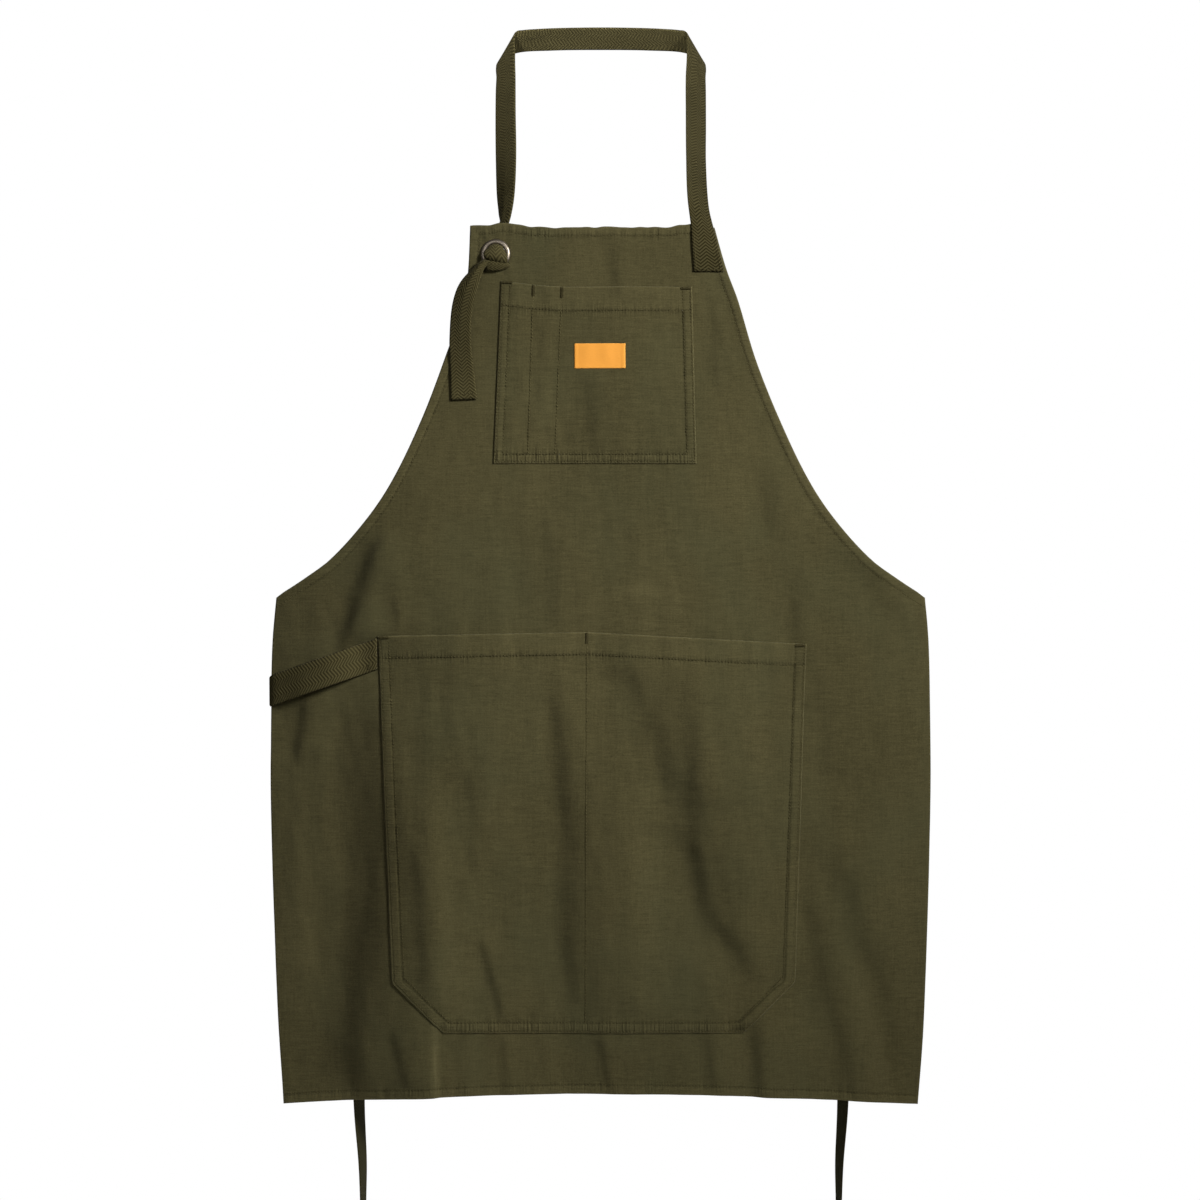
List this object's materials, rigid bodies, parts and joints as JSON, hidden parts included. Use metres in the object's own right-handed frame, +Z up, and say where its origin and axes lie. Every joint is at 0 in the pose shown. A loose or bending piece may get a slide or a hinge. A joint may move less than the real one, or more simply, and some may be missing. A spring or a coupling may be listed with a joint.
{
  "type": "work apron",
  "caption": "Canvas bib apron as worn, with a neck strap knotted through an eyelet, a chest pocket with pen slots, a wide front pocket, a side loop and waist ties.",
  "frame": {"origin": "middle of the neck strap's top band, where it rests on the back of a neck", "axes": "+Z up as worn, -Y towards the apron's front, +X to the right of someone looking at the front"},
  "size_m": [0.6694, 0.1316, 1.2366],
  "materials": {
    "canvas": "matte olive cotton canvas with fine horizontal slubs",
    "webbing": "matte olive cotton herringbone webbing",
    "label_cloth": "smooth woven orange label, bare",
    "nickel": "worn satin nickel"
  },
  "bodies": {
    "root": {"apron_body": "canvas", "chest_pocket": "canvas", "front_pocket": "canvas", "label": "label_cloth", "eyelet": "nickel", "neck_strap": "webbing", "side_loop": "webbing", "waist_tie_left": "webbing", "waist_tie_right": "webbing"}
  },
  "joints": []
}
